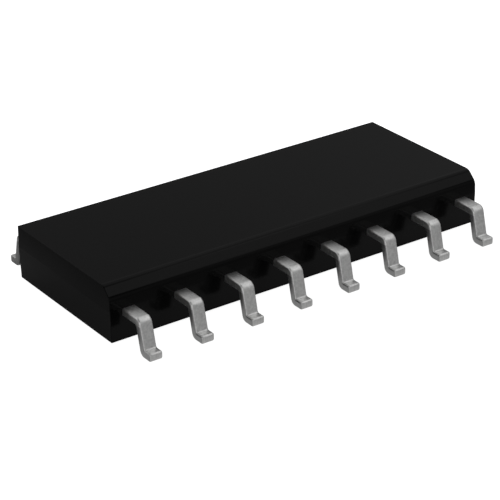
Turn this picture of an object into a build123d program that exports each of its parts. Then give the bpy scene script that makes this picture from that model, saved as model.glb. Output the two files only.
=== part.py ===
from build123d import *

import os
from math import cos, radians, tan

# A sixteen-lead small-outline chip: a moulded body on two rows of gull-wing leads, with the lead
# frame's die pad, the silicon die and its bond wires inside. Sizes are in millimetres.
# X runs along the rows, Y from the near row to the far row, Z up from the board.
# The origin is on the board, under the middle of the body.

# Leads outside the body
leads_per_row = 8
pitch = 1.27
lead_width = 0.32
lead_thickness = 0.18
lead_reach = 1.00
foot_length = 0.36
leg_slope = 13.3
outer_bend = 0.15
inner_bend = 0.06
toe_radius = 0.03

# Moulded body
stand_off = 0.10
lower_half = 0.73
upper_half = 0.52
body_width = 3.80
end_margin = 0.455
wall_draft = 1.0
bevel = 0.235
body_corner = 0.03
body_edge = 0.02

# Lead frame inside the body
anchor_cover = 0.18
anchor_width = 0.50
anchor_length = 0.22
finger_width = 0.24
finger_clearance = 0.16
finger_slant = 0.55
front_tip_pitch = 1.07
tip_gap = 0.20
pad_length = 3.00
pad_width = 2.00
pad_corner = 0.10
pad_downset = 0.20
tie_bar_width = 0.25
tie_bar_step = 0.30
tie_bar_flat = 0.12
tie_bar_cover = 0.12
tie_bar_bend = 0.10

# Die and bond wires
attach_thickness = 0.025
die_length = 2.20
die_width = 1.40
die_thickness = 0.28
bond_inset = 0.10
front_bond_pitch = 0.50
side_bond_pitch = 0.26
stitch_inset = 0.12
ball_diameter = 0.10
ball_height = 0.03
wire_diameter = 0.05
wire_flats = 6
loop_rise = 0.17
loop_flat = 0.20
loop_corner = 0.05

# Sizes that follow from these
row_length = (leads_per_row - 1) * pitch
body_length = row_length + 2 * end_margin
wall_y = body_width / 2
frame_top = stand_off + lower_half
frame_low = frame_top - lead_thickness
body_top = frame_top + upper_half
frame_middle = frame_top - lead_thickness / 2
pad_low = frame_low - pad_downset
pad_middle = frame_middle - pad_downset
attach_low = pad_low + lead_thickness
die_low = attach_low + attach_thickness
die_top = die_low + die_thickness
front_tip_y = pad_width / 2 + tip_gap
side_tip_x = pad_length / 2 + tip_gap
first_side_row = tie_bar_width / 2 + finger_clearance + finger_width / 2
side_row_step = finger_width + finger_clearance
step_start = pad_length / 2 + tie_bar_flat
bar_end = body_length / 2 - tie_bar_cover
top_wall_y = wall_y - upper_half * tan(radians(wall_draft))

os.makedirs("parts", exist_ok=True)


def finish(piece, name):
    """Label a finished piece and write it under its name."""
    piece.part.label = name
    export_step(piece.part, f"parts/{name}.step")
    return piece


def side_rank(index):
    """How many leads a lead is from the nearer end of its row: 0 for the end leads."""
    return min(index, leads_per_row - 1 - index)


def row_x(index, spacing):
    """Where a lead stands along the row, for a row of this spacing."""
    return (index - (leads_per_row - 1) / 2) * spacing


def tip_of(index):
    """The end of a lead's finger, in plan. The two leads at each end of a row come in sideways."""
    if side_rank(index) > 1:
        return row_x(index, front_tip_pitch), -front_tip_y
    side = -1 if index < leads_per_row / 2 else 1
    return side * side_tip_x, -(first_side_row + side_rank(index) * side_row_step)


def finger_route(index):
    """The middle line of a lead's finger, in plan, from its anchor to its tip."""
    x = row_x(index, pitch)
    tip_x, tip_y = tip_of(index)
    start = (x, -(wall_y - anchor_cover - anchor_length / 2))
    if side_rank(index) > 1:
        return [start, (x, -(wall_y - anchor_cover - anchor_length)), (tip_x, tip_y)]
    side = -1 if x < 0 else 1
    return [start, (x, tip_y - finger_slant), (x - side * finger_slant, tip_y), (tip_x, tip_y)]


def make_lead(index):
    """One lead of the near row: the gull wing outside, the anchor and the finger inside."""
    x = row_x(index, pitch)
    toe_y = -(wall_y + lead_reach)
    heel_y = toe_y + foot_length
    lean = tan(radians(leg_slope))
    leg_thickness = lead_thickness / cos(radians(leg_slope))
    root_y = -(wall_y - anchor_cover - anchor_length / 2)
    wing_outline = [
        (root_y, frame_top),
        (heel_y - leg_thickness + frame_top * lean, frame_top),
        (heel_y - leg_thickness + lead_thickness * lean, lead_thickness),
        (toe_y, lead_thickness),
        (toe_y, 0),
        (heel_y, 0),
        (heel_y + frame_low * lean, frame_low),
        (root_y, frame_low),
    ]
    corner_radii = [0, outer_bend, inner_bend, toe_radius, toe_radius, outer_bend, inner_bend, 0]
    with BuildPart() as lead:
        with BuildSketch(Plane.YZ.offset(x)):
            with BuildLine():
                FilletPolyline(*wing_outline, radius=corner_radii, close=True)
            make_face()
        extrude(amount=lead_width / 2, both=True)
        with BuildSketch(Plane.XY.offset(frame_low)):
            with Locations((x, root_y)):
                Rectangle(anchor_width, anchor_length)
            with BuildLine():
                Polyline(*finger_route(index))
            trace(line_width=finger_width)
        extrude(amount=lead_thickness)
    return lead


def bond_point(index):
    """Where a lead's wire starts on the die, in plan."""
    if side_rank(index) > 1:
        return row_x(index, front_bond_pitch), -(die_width / 2 - bond_inset)
    side = -1 if index < leads_per_row / 2 else 1
    return side * (die_length / 2 - bond_inset), -(side_rank(index) + 0.5) * side_bond_pitch


def stitch_point(index):
    """Where a lead's wire lands, in plan: on the finger, just behind its tip."""
    route = finger_route(index)
    before, tip = Vector(*route[-2]), Vector(*route[-1])
    landing = tip + (before - tip).normalized() * stitch_inset
    return landing.X, landing.Y


def make_wire(index):
    """One bond wire of the near row: a ball on the die, a loop, and a long fall to the finger."""
    start = Vector(*bond_point(index), die_top)
    end = Vector(*stitch_point(index), die_top)
    reach = (end - start).length
    loop = Plane(origin=start, x_dir=end - start, z_dir=(end - start).cross(Vector(0, 0, 1)))
    fall = die_top - frame_top + loop_rise
    overrun = wire_diameter
    past = (reach - loop_flat) * overrun / fall
    with BuildPart() as wire:
        with BuildLine(loop) as line:
            Polyline(
                (0, 0),
                (0, loop_rise - loop_corner),
                (loop_corner, loop_rise),
                (loop_flat, loop_rise),
                (reach + past, frame_top - die_top - overrun),
            )
        # Sixteen wires this fine are drawn with a few flats each, across their real diameter.
        with BuildSketch(Plane(origin=start, x_dir=end - start)):
            RegularPolygon(wire_diameter / 2, wire_flats)
        sweep(path=line.line, transition=Transition.RIGHT)
        split(bisect_by=Plane.XY.offset(frame_top), keep=Keep.TOP)
        with BuildSketch(Plane(origin=start, x_dir=end - start)):
            RegularPolygon(ball_diameter / 2, wire_flats)
        extrude(amount=ball_height)
    return wire


# The die pad: a plate below the leads, held by a stepped tie bar at each end.
with BuildPart() as die_pad:
    with BuildSketch(Plane.XY.offset(pad_low)):
        RectangleRounded(pad_length, pad_width, pad_corner)
    extrude(amount=lead_thickness)
    for side in (-1, 1):
        with BuildSketch(Plane.XZ):
            with BuildLine():
                FilletPolyline(
                    (side * pad_length / 4, pad_middle),
                    (side * step_start, pad_middle),
                    (side * (step_start + tie_bar_step), frame_middle),
                    (side * bar_end, frame_middle),
                    radius=tie_bar_bend,
                )
            trace(line_width=lead_thickness)
        extrude(amount=tie_bar_width / 2, both=True)
finish(die_pad, "die_pad")

with BuildPart() as die_attach:
    with BuildSketch(Plane.XY.offset(attach_low)):
        Rectangle(die_length, die_width)
    extrude(amount=attach_thickness)
finish(die_attach, "die_attach")

with BuildPart() as die:
    with BuildSketch(Plane.XY.offset(die_low)):
        Rectangle(die_length, die_width)
    extrude(amount=die_thickness)
finish(die, "die")

# The near row holds leads 1 to 8. The far row is the same row turned half way round.
leads = []
wires = []
for half_turn in (0, 180):
    for index in range(leads_per_row):
        number = len(leads) + 1
        with BuildPart() as placed_lead:
            add(make_lead(index).part.rotate(Axis.Z, half_turn))
        leads.append(finish(placed_lead, f"lead_{number:02d}"))
        with BuildPart() as placed_wire:
            add(make_wire(index).part.rotate(Axis.Z, half_turn))
        wires.append(finish(placed_wire, f"wire_{number:02d}"))

# The moulded body: two drafted halves from the parting line at the lead frame's top, a bevel along
# the top edge over leads 1 to 8, and pockets of exactly the shape of what it was moulded round.
with BuildPart() as body:
    with BuildSketch(Plane.XY.offset(frame_top)) as parting:
        RectangleRounded(body_length, body_width, body_corner)
    extrude(amount=upper_half, taper=wall_draft)
    extrude(parting.sketch, amount=lower_half, dir=(0, 0, -1), taper=wall_draft)
    # The wedge that cuts the bevel reaches past the wall and past the top by the bevel's own size.
    with BuildSketch(Plane.YZ):
        Polygon(
            (-top_wall_y - bevel, body_top - 2 * bevel),
            (-top_wall_y + bevel, body_top),
            (-top_wall_y + bevel, body_top + bevel),
            (-top_wall_y - bevel, body_top + bevel),
            align=None,
        )
    extrude(amount=body_length, both=True, mode=Mode.SUBTRACT)
    bottom_rim = body.faces().sort_by(Axis.Z)[0].edges()
    top_rim = body.faces().sort_by(Axis.Z)[-1].edges()
    fillet(bottom_rim, radius=body_edge)
    fillet(top_rim, radius=body_edge)
    for piece in [die_pad, die_attach, die] + leads + wires:
        add(piece.part, mode=Mode.SUBTRACT)
finish(body, "body")
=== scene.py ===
# %% [markdown]
# # A small-outline chip
#
# The real object is a black moulded block, just under ten millimetres long, that stands on sixteen
# tin-plated leads bent like gulls' wings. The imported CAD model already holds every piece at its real
# size, so this script adds what a camera sees: softened edges, the seam of the mould, the grain of the
# moulding compound, the plated metal with its sheared ends, and the studio.

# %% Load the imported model
from math import atan2, cos, pi, radians, sin, tan

import bmesh
import bpy
from mathutils import Euler, Matrix, Vector


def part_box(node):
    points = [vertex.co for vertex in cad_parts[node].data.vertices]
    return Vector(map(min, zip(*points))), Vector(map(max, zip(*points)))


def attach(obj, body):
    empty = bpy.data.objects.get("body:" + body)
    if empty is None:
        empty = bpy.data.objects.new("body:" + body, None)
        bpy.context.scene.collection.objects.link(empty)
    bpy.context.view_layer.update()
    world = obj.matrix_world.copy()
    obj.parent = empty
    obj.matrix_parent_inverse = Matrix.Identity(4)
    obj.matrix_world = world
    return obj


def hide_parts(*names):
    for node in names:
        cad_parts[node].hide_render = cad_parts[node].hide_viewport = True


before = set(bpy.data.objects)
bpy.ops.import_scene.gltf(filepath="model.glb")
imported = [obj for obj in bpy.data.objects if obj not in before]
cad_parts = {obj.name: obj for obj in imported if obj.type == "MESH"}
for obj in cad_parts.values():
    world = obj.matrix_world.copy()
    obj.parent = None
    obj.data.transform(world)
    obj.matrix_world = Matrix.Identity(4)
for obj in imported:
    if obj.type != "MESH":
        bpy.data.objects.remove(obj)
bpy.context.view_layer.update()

MM = 0.001
scene = bpy.context.scene

# %% [markdown]
# ## Sizes
#
# Everything that can be read from the model is read from it: the walls of the body, the level of the
# lead frame, the pitch of the leads. The few sizes that a box can't tell, such as the radius of a bend
# or the slope of a leg, are written down once here, in millimetres turned into metres. The inner bend
# is tighter and the toe rounder than in the solids, because that is how they look in the photograph.

# %% Read the sizes
body_low, body_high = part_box("body")
first_low, first_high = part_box("lead_01")
second_low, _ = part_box("lead_02")

wall_y = body_high.y
frame_top = first_high.z
toe_y = first_low.y

leads_per_row = 8
side_leads = 2
lead_width = 0.32 * MM
lead_thickness = 0.18 * MM
foot_length = 0.36 * MM
leg_slope = radians(13.3)
outer_bend = 0.15 * MM
inner_bend = 0.03 * MM
toe_radius = 0.045 * MM
anchor_cover = 0.18 * MM
anchor_width = 0.50 * MM
anchor_length = 0.22 * MM
finger_width = 0.24 * MM
finger_slant = 0.55 * MM
front_tip_pitch = 1.07 * MM
front_tip_y = -1.20 * MM

first_anchor_x = first_low.x + anchor_width / 2
pitch = second_low.x - first_low.x
print("pitch", round(pitch / MM, 3), "first lead at", round(first_anchor_x / MM, 3))

# %% [markdown]
# ## Working by hand, in code
#
# Blender's mesh operators act on whatever is selected. The loaded model comes in selected, so each new
# piece starts by clearing that. Inside edit mode the helpers below pick vertices, edges or faces by
# where they are or which way they face, the way a hand would click them.

# %% Helpers for selecting
# Two places nearer than this are the same one.
touching = 0.001 * MM
# A face is square to an axis when its normal's share of that axis is above this.
squarely = 0.99


def start_clean():
    """Leave edit mode and deselect everything."""
    if bpy.context.mode != "OBJECT":
        bpy.ops.object.mode_set(mode="OBJECT")
    bpy.ops.object.select_all(action="DESELECT")


def select_only(piece):
    """Make a piece the only selected one, and the active one."""
    start_clean()
    piece.select_set(True)
    bpy.context.view_layer.objects.active = piece


def work_on(piece):
    """Open a piece in edit mode, with nothing else selected."""
    select_only(piece)
    bpy.ops.object.mode_set(mode="EDIT")


def pick(piece, kind, test):
    """Select the vertices, edges or faces of the open piece that pass a test. Return how many."""
    bpy.ops.mesh.select_mode(type=kind)
    bpy.ops.mesh.select_all(action="DESELECT")
    mesh = bmesh.from_edit_mesh(piece.data)
    items = {"VERT": mesh.verts, "EDGE": mesh.edges, "FACE": mesh.faces}[kind]
    chosen = [item for item in items if test(item)]
    for item in chosen:
        item.select_set(True)
    mesh.select_flush_mode()
    bmesh.update_edit_mesh(piece.data)
    return len(chosen)


# %% Helpers for finishing a mesh
def face_outwards():
    """Turn every face of the open piece outwards. Its volume comes out negative when they face inwards."""
    bpy.ops.mesh.select_mode(type="VERT")
    bpy.ops.mesh.select_all(action="SELECT")
    bpy.ops.mesh.normals_make_consistent(inside=False)
    if bmesh.from_edit_mesh(bpy.context.object.data).calc_volume(signed=True) < 0:
        bpy.ops.mesh.flip_normals()


def close_mesh():
    """Merge doubles, turn every face outwards and leave edit mode."""
    bpy.ops.mesh.select_mode(type="VERT")
    bpy.ops.mesh.select_all(action="SELECT")
    bpy.ops.mesh.remove_doubles(threshold=touching)
    face_outwards()
    bpy.ops.object.mode_set(mode="OBJECT")


def apply_modifier(piece, kind, **settings):
    """Add a modifier to a piece and apply it at once."""
    modifier = piece.modifiers.new(kind.lower(), kind)
    for key, value in settings.items():
        setattr(modifier, key, value)
    select_only(piece)
    bpy.ops.object.modifier_apply(modifier=modifier.name)


def shade(piece, angle):
    """Smooth a piece's shading below an angle, and let its large flat faces keep their own direction."""
    select_only(piece)
    bpy.ops.object.shade_smooth_by_angle(angle=angle)
    apply_modifier(piece, "WEIGHTED_NORMAL", mode="FACE_AREA", keep_sharp=True)


def measure(piece):
    """Print a piece's size in millimetres, its faces, whether it is closed, and its volume."""
    mesh = bmesh.new()
    mesh.from_mesh(piece.data)
    closed = all(edge.is_manifold for edge in mesh.edges)
    corners = [vertex.co for vertex in mesh.verts]
    size = [max(c[i] for c in corners) - min(c[i] for c in corners) for i in range(3)]
    volume = mesh.calc_volume(signed=True) / MM ** 3
    print(piece.name, [round(s / MM, 3) for s in size], "faces", len(mesh.faces), "closed", closed,
          "volume", round(volume, 4))
    mesh.free()


# %% [markdown]
# ## The moulded body
#
# The real body is transfer-moulded in a steel mould whose two halves meet level with the lead frame, so
# its walls lean in a little both ways from that seam, and one long top edge is bevelled to mark the side
# of lead one. A cube cut at the seam and pinched at its two ends gives the same form with ten faces.

# %% Block out the body
wall_draft = radians(1.0)

body_middle = (body_low + body_high) / 2
body_size = body_high - body_low
upper_half = body_high.z - frame_top
lower_half = frame_top - body_low.z

start_clean()
bpy.ops.mesh.primitive_cube_add(size=1, location=body_middle, scale=body_size)
moulded_body = bpy.context.object
moulded_body.name = "moulded_body"
bpy.ops.object.transform_apply(location=True, rotation=True, scale=True)
work_on(moulded_body)
bpy.ops.mesh.select_all(action="SELECT")
bpy.ops.mesh.bisect(plane_co=(0, 0, frame_top), plane_no=(0, 0, 1))


def pinch(level, half_height):
    """Lean the walls in towards one level by the draft of the mould."""
    pick(moulded_body, "VERT", lambda v: abs(v.co.z - level) < touching)
    lean = 2 * half_height * tan(wall_draft)
    factors = ((body_size.x - lean) / body_size.x, (body_size.y - lean) / body_size.y, 1)
    bpy.ops.transform.resize(value=factors, center_override=(0, 0, level))


pinch(body_high.z, upper_half)
pinch(body_low.z, lower_half)
print("faces of the block:", len(bmesh.from_edit_mesh(moulded_body.data).faces))

# %% [markdown]
# The bevel is one edge operation, and its own two edges are rounded by a second one: in the photograph
# it runs over into the wall without a line. The softening of every other edge is a Bevel modifier
# limited by angle, because the few degrees at the seam then stay as they are.

# %% Bevel and soften the body
bevel_size = 0.235 * MM
bevel_rounding = 0.08 * MM
rounding_steps = 6
body_edge = 0.012 * MM
edge_steps = 4
body_crease = radians(25)


def is_long_edge(edge, lowest):
    """Whether an edge runs along the near side of the body, above a height."""
    middle = (edge.verts[0].co + edge.verts[1].co) / 2
    along = abs(edge.verts[0].co.x - edge.verts[1].co.x) > body_size.x / 2
    return along and middle.z > lowest and middle.y < 0


pick(moulded_body, "EDGE", lambda e: is_long_edge(e, body_high.z - touching))
bpy.ops.mesh.bevel(offset=bevel_size, offset_type="OFFSET", segments=1)
pick(moulded_body, "EDGE", lambda e: is_long_edge(e, body_high.z - bevel_size - touching))
bpy.ops.mesh.bevel(offset=bevel_rounding, offset_type="OFFSET", segments=rounding_steps)
close_mesh()

apply_modifier(moulded_body, "BEVEL", width=body_edge, segments=edge_steps, limit_method="ANGLE",
               angle_limit=body_crease)
measure(moulded_body)

# %% [markdown]
# Where the mould halves meet, a real body keeps a hair of a ridge. The seam loop is bevelled to a band
# with one loop down its middle, and that loop is pushed out by half a thousandth of a millimetre.

# %% Raise the mould seam
seam_width = 0.02 * MM
seam_height = 0.0005 * MM


def at_seam(vertex):
    """Whether a vertex is level with the seam."""
    return abs(vertex.co.z - frame_top) < touching


work_on(moulded_body)
pick(moulded_body, "EDGE", lambda e: at_seam(e.verts[0]) and at_seam(e.verts[1]))
bpy.ops.mesh.bevel(offset=seam_width / 2, offset_type="OFFSET", segments=2)
pick(moulded_body, "VERT", at_seam)
seam_factors = (1 + 2 * seam_height / body_size.x, 1 + 2 * seam_height / body_size.y, 1)
bpy.ops.transform.resize(value=seam_factors, center_override=(0, 0, frame_top))
close_mesh()
shade(moulded_body, body_crease)
measure(moulded_body)

# %% [markdown]
# ## The gull-wing lead
#
# Each lead is a strip of plated copper alloy, bent in a die: a level shoulder, a leg that leans out, and
# a short foot. Seen from the side it is an outline of eight corners. A circle primitive with eight
# vertices gives that face, its corners are moved to their places, the bends are rounded by a vertex
# bevel, and the face is then extruded by the lead's width.

# %% Draw the side of the lead
heel_y = toe_y + foot_length
leg_across = lead_thickness / cos(leg_slope)
frame_low = frame_top - lead_thickness
anchor_y = -(wall_y - anchor_cover)
flank_x = first_anchor_x - lead_width / 2


def back_of_leg(z):
    """Where the leg's back face is, at a height."""
    return heel_y + z * tan(leg_slope)


def front_of_leg(z):
    """Where the leg's front face is, at a height."""
    return back_of_leg(z) - leg_across


# Each corner has its place in Y and Z, and the radius of its bend.
wing_corners = [
    (anchor_y, frame_top, 0),
    (front_of_leg(frame_top), frame_top, outer_bend),
    (front_of_leg(lead_thickness), lead_thickness, inner_bend),
    (toe_y, lead_thickness, toe_radius),
    (toe_y, 0, toe_radius),
    (heel_y, 0, outer_bend),
    (back_of_leg(frame_low), frame_low, inner_bend),
    (anchor_y, frame_low, 0),
]

start_clean()
bpy.ops.mesh.primitive_circle_add(vertices=len(wing_corners), radius=1 * MM, fill_type="NGON")
wing = bpy.context.object
wing.name = "gull_wing"
work_on(wing)
for vertex, (y, z, _) in zip(bmesh.from_edit_mesh(wing.data).verts, wing_corners):
    vertex.co = (flank_x, y, z)
bmesh.update_edit_mesh(wing.data)

# %% Round the bends
bend_steps = 7

for index, (y, z, radius) in enumerate(wing_corners):
    if radius == 0:
        continue
    corner = Vector((flank_x, y, z))
    before = Vector((flank_x, *wing_corners[index - 1][:2])) - corner
    after = Vector((flank_x, *wing_corners[(index + 1) % len(wing_corners)][:2])) - corner
    turn = pi - before.angle(after)
    pick(wing, "VERT", lambda v: (v.co - corner).length < touching)
    bpy.ops.mesh.bevel(offset=radius * tan(turn / 2), offset_type="OFFSET", segments=bend_steps,
                       affect="VERTICES")
print("corners round the side of the lead:", len(bmesh.from_edit_mesh(wing.data).verts))

# %% Pull it out to the lead's width
bpy.ops.mesh.select_all(action="SELECT")
bpy.ops.mesh.extrude_region_move(TRANSFORM_OT_translate={"value": (lead_width, 0, 0)})
face_outwards()
print("faces of the bent strip:", len(bmesh.from_edit_mesh(wing.data).faces))

# %% [markdown]
# The stamping die leaves the strip's edges slightly rolled, and the plating rounds them further. They
# catch a thin line of light in the photograph, so they are real geometry here: every edge between a
# flank and the strip's outside is bevelled, apart from those at the end inside the body. The bevel has
# to be smaller than the radius of each bend that it goes round on the outside, or it folds over itself.

# %% Roll the stamped edges
lead_edge = 0.042 * MM
edge_roll_steps = 5


def is_flank(face):
    """Whether a face is one of the strip's two stamped sides."""
    return abs(face.normal.x) > squarely


def is_rolled(edge):
    """Whether an edge lies between a flank and the strip's outside, and isn't at the inner end."""
    faces = edge.link_faces
    if len(faces) != 2 or is_flank(faces[0]) == is_flank(faces[1]):
        return False
    return any(abs(v.co.y - anchor_y) > touching for v in edge.verts)


pick(wing, "EDGE", is_rolled)
bpy.ops.mesh.bevel(offset=lead_edge, offset_type="OFFSET", segments=edge_roll_steps)
close_mesh()
measure(wing)

# %% [markdown]
# ## Inside the body: anchor and finger
#
# Behind the wall each lead flares into an anchor that locks it in the compound, and goes on as a finger
# to the edge of the die pad. Nobody sees them, but the piece stands for the whole lead, so its end face
# is simply extruded along the same route as in the model: flare, anchor, taper, then run by run.

# %% Extrude the anchor
flare = 0.04 * MM
frame_middle = frame_top - lead_thickness / 2
anchor_end = anchor_y + anchor_length


def is_end_face(face, end_y):
    """Whether a face closes the lead at its inner end."""
    return face.normal.y > squarely and face.calc_center_median().y > end_y - touching


def pull_end(dx, dy):
    """Extrude the selected end face by a step in plan."""
    bpy.ops.mesh.extrude_region_move(TRANSFORM_OT_translate={"value": (dx, dy, 0)})


def widen_end(factor, end_y):
    """Scale the selected end face across the lead."""
    bpy.ops.transform.resize(value=(factor, 1, 1), center_override=(first_anchor_x, end_y, frame_middle))


work_on(wing)
print("end faces picked:", pick(wing, "FACE", lambda f: is_end_face(f, anchor_y)))
pull_end(0, flare)
widen_end(anchor_width / lead_width, anchor_y + flare)
pull_end(0, anchor_length - 2 * flare)
pull_end(0, flare)
widen_end(finger_width / anchor_width, anchor_end)
close_mesh()
measure(wing)

# %% [markdown]
# The wing with its anchor is now modelled once. Each lead of the near row is a copy with its own mesh,
# slid along by the pitch. The two leads at each end of a row come to the pad from its side, so their
# route turns by half a right angle at each of two corners. The far row is the near row turned half way
# round about the middle of the chip.

# %% Helpers for the fingers
def comes_in_sideways(index):
    """Whether a lead is one of those at the ends of its row."""
    return index < side_leads or index >= leads_per_row - side_leads


def finger_tip(index):
    """The end of a finger in plan."""
    if not comes_in_sideways(index):
        return (index - (leads_per_row - 1) / 2) * front_tip_pitch, front_tip_y
    low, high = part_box(f"lead_{index + 1:02d}")
    tip_x = high.x if index < side_leads else low.x
    return tip_x, high.y - finger_width / 2


def turn_end(angle, place):
    """Turn the selected end face in plan. Without a window the operator turns the other way round."""
    bpy.ops.transform.rotate(value=-angle, orient_axis="Z", center_override=(*place, frame_middle))


def stretch_end(factor, heading, place):
    """Scale the selected end face across its own heading, in plan."""
    along = Vector((cos(heading), -sin(heading), 0))
    across = Vector((sin(heading), cos(heading), 0))
    axes = Matrix((along, across, Vector((0, 0, 1)))).transposed()
    bpy.ops.transform.resize(value=(factor, 1, 1), orient_type="GLOBAL", orient_matrix=axes,
                             orient_matrix_type="GLOBAL", center_override=(*place, frame_middle))


# %% Grow the fingers and place all sixteen
lead_crease = radians(35)


def grow_finger(piece, index):
    """Extrude the end face of a lead of the near row along its route, mitred at every corner."""
    x = first_anchor_x + index * pitch
    tip_x, tip_y = finger_tip(index)
    route = [Vector((x, anchor_end)), Vector((tip_x, tip_y))]
    if comes_in_sideways(index):
        side = 1 if tip_x > x else -1
        route[1:1] = [Vector((x, tip_y - finger_slant)), Vector((x + side * finger_slant, tip_y))]
    work_on(piece)
    pick(piece, "FACE", lambda f: is_end_face(f, anchor_end))
    # A heading is the turn from straight in, towards +X. The end face turns half of each corner before
    # the run and half after it, and is wider while it stands across the corner.
    headings = [0] + [atan2((b - a).x, (b - a).y) for a, b in zip(route, route[1:])]
    faced = 0
    for start, end, before, after in zip(route, route[1:], headings, headings[1:]):
        mitre = (before + after) / 2
        across_corner = cos((after - before) / 2)
        turn_end(faced - mitre, start)
        stretch_end(1 / across_corner, mitre, start)
        pull_end(*(end - start))
        stretch_end(across_corner, mitre, end)
        faced = mitre
    turn_end(faced - headings[-1], route[-1])
    close_mesh()


leads = []
for half_turn in (0, 1):
    for index in range(leads_per_row):
        number = half_turn * leads_per_row + index + 1
        piece = wing.copy()
        piece.data = wing.data.copy()
        piece.name = f"gull_wing_{number:02d}"
        scene.collection.objects.link(piece)
        piece.data.transform(Matrix.Translation((index * pitch, 0, 0)))
        grow_finger(piece, index)
        piece.data.transform(Matrix.Rotation(half_turn * pi, 4, "Z"))
        shade(piece, lead_crease)
        leads.append(piece)
bpy.data.objects.remove(wing)
for piece in leads:
    measure(piece)

# %% [markdown]
# ## Materials
#
# Every finish is a small network of procedural nodes on Object coordinates. The chip is in metres, so a
# pattern of twenty micrometres needs a scale in the tens of thousands. The helpers keep each finish
# short: one makes a node, one joins two sockets, and the others are the few nodes that most finishes use.

# %% Helpers for nodes
def new_finish(name):
    """A material with its shader and its Object coordinates."""
    finish = bpy.data.materials.new(name)
    finish.use_nodes = True
    shader = finish.node_tree.nodes["Principled BSDF"]
    place = finish.node_tree.nodes.new("ShaderNodeTexCoord").outputs["Object"]
    return finish, shader, place


def join(finish, socket, target):
    """Link one socket to another."""
    finish.node_tree.links.new(socket, target)


def add_node(finish, kind, links=None, **settings):
    """Add a node, set its properties, and link or set its inputs."""
    node = finish.node_tree.nodes.new("ShaderNode" + kind)
    for key, value in settings.items():
        setattr(node, key, value)
    for key, value in (links or {}).items():
        if isinstance(value, bpy.types.NodeSocket):
            join(finish, value, node.inputs[key])
        else:
            node.inputs[key].default_value = value
    return node


def reckon(finish, operation, *values):
    """One step of arithmetic on numbers or sockets."""
    return add_node(finish, "Math", dict(enumerate(values)), operation=operation).outputs["Value"]


def spread(finish, value, low, high, start=0.0, end=1.0):
    """Map a value between two limits onto another range."""
    return add_node(finish, "MapRange", {"Value": value, "From Min": start, "From Max": end,
                                         "To Min": low, "To Max": high}).outputs["Result"]


def number_between(finish, value, first, second):
    """Mix two numbers, or sockets that carry numbers, by a value."""
    links = {"Factor": value, "A": first, "B": second}
    return add_node(finish, "Mix", links, data_type="FLOAT").outputs["Result"]


def colour_between(finish, value, first, second):
    """Mix two colours, or sockets that carry colours, by a value."""
    links = {"Factor": value, "A": first, "B": second}
    return add_node(finish, "Mix", links, data_type="RGBA").outputs["Result"]


# %% Helpers for finishes
def drawn_out(finish, place, factors):
    """Scale the coordinates along each axis. A pattern is drawn out where the factor is small."""
    return add_node(finish, "VectorMath", {0: place, 1: factors}, operation="MULTIPLY").outputs["Vector"]


def grain(finish, place, size, detail, roughness=0.5):
    """A noise whose blobs are about this many metres across."""
    return add_node(finish, "TexNoise", {"Vector": place, "Scale": 1 / size, "Detail": detail,
                                         "Roughness": roughness}).outputs["Fac"]


def relief(finish, shader, height, distance, strength, under=None):
    """A bump from a height, added to another bump when one is given."""
    links = {"Height": height, "Distance": distance, "Strength": strength}
    if under is not None:
        links["Normal"] = under
    bump = add_node(finish, "Bump", links).outputs["Normal"]
    join(finish, bump, shader.inputs["Normal"])
    return bump


def coat(finish, shader, colour, roughness, metallic):
    """Give a shader its colour and roughness from the nodes, and one figure for how metallic it is."""
    join(finish, colour, shader.inputs["Base Color"])
    join(finish, roughness, shader.inputs["Roughness"])
    shader.inputs["Metallic"].default_value = metallic


# %% [markdown]
# ### Moulding compound
#
# The body is epoxy filled with silica and carbon black. It is almost perfectly black, with a satin skin
# that copies the spark-eroded face of the mould. In the photograph its walls still mirror the bright
# leads and the white table as soft dark and light shapes, so the roughness stays low enough for that,
# while the specular level is far below that of a clear plastic.

# %% Black moulding compound
skin_grain = 0.035 * MM
skin_relief = 0.0006 * MM
mottle_size = 1.6 * MM
filler_size = 0.016 * MM
fleck_from, fleck_to = 0.68, 0.80
grain_roughness = (-0.02, 0.02)
mottle_roughness = (0.12, 0.16)
mould_specular = 0.103
deep_black = (0.0005, 0.0005, 0.0005, 1)
pale_black = (0.0009, 0.0009, 0.0009, 1)
fleck_grey = (0.003, 0.003, 0.003, 1)

compound, shader, place = new_finish("mould_compound")
fine = grain(compound, place, skin_grain, detail=3)
broad = grain(compound, place, mottle_size, detail=3)
filler = grain(compound, place, filler_size, detail=0)
speck = spread(compound, filler, 0.0, 1.0, fleck_from, fleck_to)
base = colour_between(compound, broad, deep_black, pale_black)
flecked = colour_between(compound, speck, base, fleck_grey)
finely_rough = spread(compound, fine, *grain_roughness)
broadly_rough = spread(compound, broad, *mottle_roughness)
satin = reckon(compound, "ADD", finely_rough, broadly_rough)
coat(compound, shader, flecked, satin, metallic=0.0)
shader.inputs["Specular IOR Level"].default_value = mould_specular
relief(compound, shader, fine, skin_relief, strength=0.2)

# %% [markdown]
# ### Tin plating
#
# Matt tin over copper alloy: a light neutral grey metal with a fine crystal grain, and with patches that
# the bending die has rubbed. The end of each foot is sheared after plating, so it is duller, darker and
# scored from top to bottom. It is found by its distance from the middle of the chip.

# %% Plated metal and its sheared ends
crystal_size = 0.02 * MM
patch_size = 0.055 * MM
score_size = 0.03 * MM
up_and_down = (1, 1, 0.12)
shear_from = abs(toe_y) - 0.012 * MM
shear_to = abs(toe_y) - 0.004 * MM
tin_shade = (0.50, 0.50, 0.495, 1)
tin_light = (0.94, 0.94, 0.93, 1)
bare_light = (0.90, 0.90, 0.89, 1)

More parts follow.
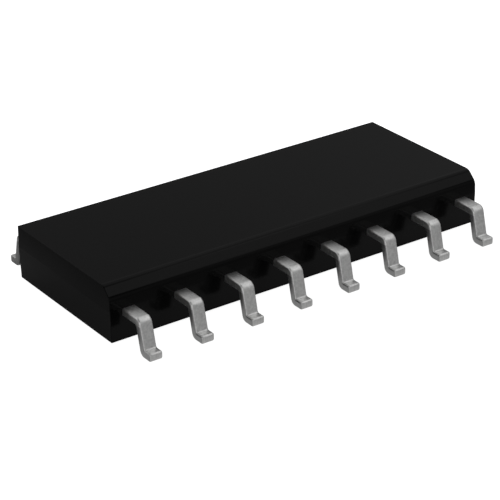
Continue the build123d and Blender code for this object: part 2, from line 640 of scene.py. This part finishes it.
tin, tin_shader, place = new_finish("tinned_lead")
crystals = grain(tin, place, crystal_size, detail=3, roughness=0.6)
patches = grain(tin, place, patch_size, detail=2)
axes = add_node(tin, "SeparateXYZ", {"Vector": place})
distance_out = reckon(tin, "ABSOLUTE", axes.outputs["Y"])
sheared = spread(tin, distance_out, 0.0, 1.0, shear_from, shear_to)
scores = grain(tin, drawn_out(tin, place, up_and_down), score_size, detail=3, roughness=0.7)
plated = colour_between(tin, patches, tin_shade, tin_light)
bare = colour_between(tin, scores, tin_shade, bare_light)
outside = colour_between(tin, sheared, plated, bare)

# %% [markdown]
# Painted shade darkens the lead where it faces the body: the inner side turns grey, and the flanks of leg
# and foot go part of the way to that grey. The wall mirrors both in the photograph, as shapes that are
# nearly black. A painted mask could tell the sides apart, but they are found by their place: the inner side
# lies along the leg's back face and under the shoulder, and a flank lies half a lead's width from the
# middle of the nearest lead.

# %% Painted shade on the inner side and flanks
skin_depth = 0.010 * MM
skin_ends = 2 * skin_depth
# Painted shade: the inner side turns this grey, and a flank goes this share of the way to it.
flank_shade_share = 0.65
inner_shade_grey = (0.18, 0.18, 0.18, 1)

behind_leg = reckon(tin, "MULTIPLY_ADD", axes.outputs["Z"], tan(leg_slope), distance_out)
behind = spread(tin, behind_leg, 1.0, 0.0, abs(heel_y) + skin_depth / 2, abs(heel_y) + skin_ends)
below = spread(tin, axes.outputs["Z"], 1.0, 0.0, frame_low + skin_depth / 2, frame_low + skin_ends)
inner_side = reckon(tin, "MULTIPLY", behind, below)
# The leads stand half a pitch to either side of the middle, so this is the way to the nearest one.
shifted = reckon(tin, "ADD", axes.outputs["X"], pitch / 2)
aside = reckon(tin, "PINGPONG", shifted, pitch / 2)
at_flank = spread(tin, aside, 0.0, flank_shade_share, lead_width / 2 - skin_ends, lead_width / 2 - skin_depth)
flank_below = reckon(tin, "MULTIPLY", at_flank, below)
# Where painted shade darkens the tin: the side facing the body, and the flanks of leg and foot.
painted_shade_mask = reckon(tin, "MAXIMUM", inner_side, flank_below)
surface = colour_between(tin, painted_shade_mask, outside, inner_shade_grey)

# %% Sheen and relief of the tin
plated_roughness = (0.35, 0.43)
sheared_roughness = 0.55
crystal_relief = 0.0010 * MM
score_relief = 0.006 * MM

matt = number_between(tin, sheared, spread(tin, patches, *plated_roughness), sheared_roughness)
coat(tin, tin_shader, surface, matt, metallic=1.0)
skin = relief(tin, tin_shader, crystals, crystal_relief, strength=0.35)
score_height = reckon(tin, "MULTIPLY", scores, sheared)
relief(tin, tin_shader, score_height, score_relief, strength=0.6, under=skin)

# %% [markdown]
# ### The pieces inside
#
# The pad, the adhesive, the die and the wires are hidden by the compound, but whoever opens the model
# sees them: rolled copper, silver-filled epoxy, a polished die with its pattern of metal tracks, gold.

# %% Copper of the die pad
streak_size = 0.03 * MM
along_the_roll = (0.05, 1, 1)
copper_shade = (0.62, 0.34, 0.20, 1)
copper_light = (0.76, 0.46, 0.30, 1)
copper_roughness = (0.28, 0.42)

copper, shader, place = new_finish("lead_frame_copper")
streaks = grain(copper, drawn_out(copper, place, along_the_roll), streak_size, detail=3)
copper_colour = colour_between(copper, streaks, copper_shade, copper_light)
coat(copper, shader, copper_colour, spread(copper, streaks, *copper_roughness), metallic=1.0)

# %% Silver-filled adhesive
flake_size = 0.02 * MM
epoxy_shade = (0.42, 0.43, 0.44, 1)
epoxy_light = (0.66, 0.67, 0.68, 1)
epoxy_roughness = (0.35, 0.6)

adhesive, shader, place = new_finish("silver_epoxy")
flakes = add_node(adhesive, "TexVoronoi", {"Vector": place, "Scale": 1 / flake_size}).outputs["Distance"]
epoxy_colour = colour_between(adhesive, flakes, epoxy_shade, epoxy_light)
coat(adhesive, shader, epoxy_colour, spread(adhesive, flakes, *epoxy_roughness), metallic=0.8)

# %% Polished silicon
block_size = 0.5 * MM
track_width = 0.06
sheen_size = 0.06 * MM
block_blue = (0.10, 0.11, 0.16, 1)
block_violet = (0.16, 0.15, 0.21, 1)
track_grey = (0.42, 0.40, 0.36, 1)
silicon_roughness = (0.12, 0.24)

silicon, shader, place = new_finish("silicon_die")
blocks = add_node(silicon, "TexBrick", {"Vector": place, "Scale": 1 / block_size,
                                        "Mortar Size": track_width, "Mortar": track_grey,
                                        "Color1": block_blue, "Color2": block_violet}).outputs["Color"]
sheen = grain(silicon, place, sheen_size, detail=1)
coat(silicon, shader, blocks, spread(silicon, sheen, *silicon_roughness), metallic=0.9)

# %% Gold of the bond wires
drawing_size = 0.02 * MM
gold_shade = (0.80, 0.56, 0.22, 1)
gold_light = (0.94, 0.70, 0.32, 1)
gold_roughness = (0.18, 0.30)

gold, shader, place = new_finish("gold_wire")
drawing = grain(gold, place, drawing_size, detail=2)
gold_colour = colour_between(gold, drawing, gold_shade, gold_light)
coat(gold, shader, gold_colour, spread(gold, drawing, *gold_roughness), metallic=1.0)

# %% Put the finishes on
finishes = {"body": compound, "lead": tin, "die_pad": copper, "die_attach": adhesive, "die": silicon,
            "wire": gold}


def dress(piece, finish):
    """Give a piece one finish, through its material slots."""
    if not piece.material_slots:
        piece.data.materials.append(finish)
    for slot in piece.material_slots:
        slot.material = finish


# A node is named for its kind, and for its number where there are several.
for name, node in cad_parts.items():
    dress(node, finishes[name.rstrip("_0123456789")])

dress(moulded_body, compound)
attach(moulded_body, "root")
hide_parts("body")
for number, piece in enumerate(leads, start=1):
    dress(piece, tin)
    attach(piece, "root")
    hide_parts(f"lead_{number:02d}")
print("pieces dressed:", len(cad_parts), "nodes and", 1 + len(leads), "new pieces")
for finish in finishes.values():
    print(finish.name, "nodes:", len(finish.node_tree.nodes))

# %% [markdown]
# ## The studio
#
# The photograph is a product shot on pure white: no horizon and next to no shadow. The table therefore
# glows by itself where the camera looks at it, which a Light Path node tells. What the chip mirrors of the
# table is darker: past the chip's left end it is greyer, as a painted shadow of the chip, and in front of
# the chip it is greyer, so that a painted glow sets its tone there. That weak painted glow in front of the
# body gives the wall and the legs what they mirror in the photograph. It is strongest between the wall and
# the feet, weaker further out, and there is none under the body and behind it, which paints a shadow there.

# %% White table
floor_size = 0.6
seen_glow = 0.95
left_from, left_to = -6.5 * MM, -4.5 * MM
left_shadow_grey, table_grey, front_grey = 0.25, 0.80, 0.40
front_from, front_to = -2.1 * MM, -1.8 * MM
shadow_from, shadow_to = -2.15 * MM, -1.9 * MM
outer_from, outer_to = -3.5 * MM, -2.7 * MM
outer_glow, inner_glow = 0.10, 0.42

scene.view_settings.view_transform = "Standard"
start_clean()
bpy.ops.mesh.primitive_plane_add(size=floor_size, location=(0, 0, 0))
floor = bpy.context.object
floor.name = "floor"
paper, shader, place = new_finish("white_table")
across, depth, _ = add_node(paper, "SeparateXYZ", {"Vector": place}).outputs
# Past the chip's left end the table is painted greyer as the chip's shadow; in front it is greyer so that
# the painted glow sets its tone.
left_shadow_ramp = spread(paper, across, left_shadow_grey, table_grey, left_from, left_to)
in_front = spread(paper, depth, 1.0, 0.0, front_from, front_to)
shaded_table_colour = number_between(paper, in_front, left_shadow_ramp, front_grey)
join(paper, shaded_table_colour, shader.inputs["Base Color"])
shader.inputs["Roughness"].default_value = 1.0
shader.inputs["Specular IOR Level"].default_value = 0.0
shader.inputs["Emission Color"].default_value = (1, 1, 1, 1)
seen = add_node(paper, "LightPath").outputs["Is Camera Ray"]
# The mirrored glow is a painted pool of light in front of the body, with painted shadow under and behind
# it.
out_of_shadow = spread(paper, depth, 1.0, 0.0, shadow_from, shadow_to)
bounce = spread(paper, depth, outer_glow, inner_glow, outer_from, outer_to)
pool = reckon(paper, "MULTIPLY", out_of_shadow, bounce)
glow = number_between(paper, seen, pool, seen_glow)
join(paper, glow, shader.inputs["Emission Strength"])
dress(floor, paper)
print("table:", floor_size, "m wide, nodes:", len(paper.node_tree.nodes))

# %% [markdown]
# The light comes from soft round lamps in the sky of the scene, which give rounder highlights than area
# lamps and cast no hard shadow. The first ones stand where the chip mirrors them towards the camera: the
# bevel mirrors what lies in front and high up, the top what lies behind it to the right, and the bends
# of the leads the sweep between the two. The others light the legs and the feet, and the sides that the
# photograph doesn't show. Their strengths were fitted to the tones of the photograph.

# %% Soft lamps
# Azimuth from +X towards +Y, elevation and reach in degrees, and radiance.
lamp_list = [
    (-45, 50, 25, 1.00),
    (-55, 12, 30, 0.30),
    (-52, 25, 22, 0.16),
    (5, 60, 22, 0.42),
    (22, 50, 38, 0.34),
    (50, 32, 38, 0.21),
    (90, 60, 40, 0.30),
    (140, 32, 36, 0.78),
    (-135, 15, 35, 0.90),
    (-100, 10, 35, 0.37),
    (-165, 32, 20, 0.60),
    (105, 6, 42, 0.32),
    (-15, 10, 25, 0.35),
]

world = bpy.data.worlds.new("studio")
scene.world = world
world.use_nodes = True
background = world.node_tree.nodes["Background"]
background.inputs["Color"].default_value = (1, 1, 1, 1)
way = add_node(world, "TexCoord").outputs["Generated"]


def soft_lamp(azimuth, elevation, reach, radiance):
    """A round patch of the sky that glows: full in its inner third, fading out at its reach."""
    turn, rise, rim = radians(azimuth), radians(elevation), radians(reach)
    core = rim / 3
    aim = (cos(turn) * cos(rise), sin(turn) * cos(rise), sin(rise))
    facing = add_node(world, "VectorMath", {0: way, 1: aim}, operation="DOT_PRODUCT").outputs["Value"]
    fade = add_node(world, "MapRange", {"Value": facing, "From Min": cos(rim), "From Max": cos(core),
                                        "To Min": 0.0, "To Max": radiance}, interpolation_type="SMOOTHSTEP")
    return fade.outputs["Result"]


lamps = [soft_lamp(*lamp) for lamp in lamp_list]
studio = lamps[0]
for lamp in lamps[1:]:
    studio = reckon(world, "ADD", studio, lamp)
join(world, studio, background.inputs["Strength"])
print("soft lamps:", len(lamps))

# %% [markdown]
# ## The camera
#
# The camera was solved from the corners of the chip in the photograph: it stands about 45 mm away, 26
# degrees above the table and 35 degrees round from the long side, with a long lens and a slight roll.

# %% Camera
photo_width = 500
focal_pixels = 1996.0
view_azimuth = radians(-34.697)
view_elevation = radians(25.994)
view_roll = radians(-0.979)
camera_distance = 44.941 * MM
aim_right = -0.0705 * MM
aim_down = -0.0623 * MM

back = Vector((sin(view_azimuth) * cos(view_elevation), -cos(view_azimuth) * cos(view_elevation),
               sin(view_elevation)))
level_turn = back.to_track_quat("Z", "Y")
turn = level_turn @ Euler((0, 0, view_roll)).to_quaternion()
right = turn @ Vector((1, 0, 0))
up = turn @ Vector((0, 1, 0))
lens = bpy.data.cameras.new("camera")
lens.lens = focal_pixels / photo_width * lens.sensor_width
lens.clip_start = 1 * MM
lens.clip_end = 10
camera = bpy.data.objects.new("camera", lens)
scene.collection.objects.link(camera)
camera.rotation_mode = "QUATERNION"
camera.rotation_quaternion = turn
camera.location = back * camera_distance + right * aim_right - up * aim_down
scene.camera = camera
print("camera at", [round(v / MM, 3) for v in camera.location], "mm, lens", round(lens.lens, 2))
